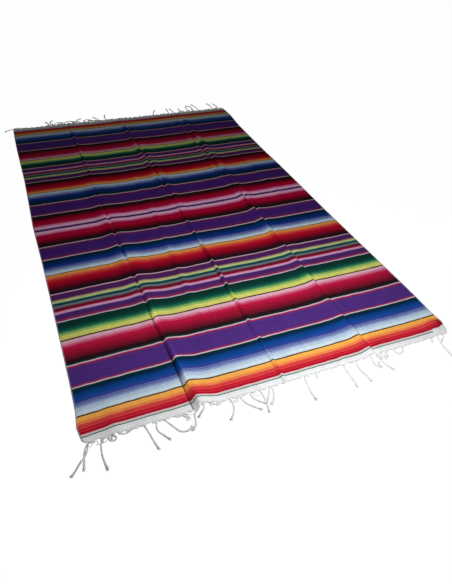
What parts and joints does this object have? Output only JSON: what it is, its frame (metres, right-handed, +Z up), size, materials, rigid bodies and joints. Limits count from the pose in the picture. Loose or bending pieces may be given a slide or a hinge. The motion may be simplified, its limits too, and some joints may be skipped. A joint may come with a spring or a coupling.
{
  "type": "striped serape blanket",
  "caption": "Woven striped blanket laid flat, with low fold lines along its length and sparse twisted cord fringe at both ends.",
  "frame": {"origin": "middle of the whole footprint on the floor, fringe included", "axes": "+X along the stripes to the right of the near end, +Y from the near end to the far end, +Z up from the floor"},
  "size_m": [1.3388, 2.3108, 0.0274],
  "materials": {
    "wool": "matte weft-faced weave in dyed stripes",
    "cotton": "matte twisted cotton cord"
  },
  "bodies": {
    "root": {"cloth": "wool", "fringe_near": "cotton", "fringe_far": "cotton"}
  },
  "joints": []
}
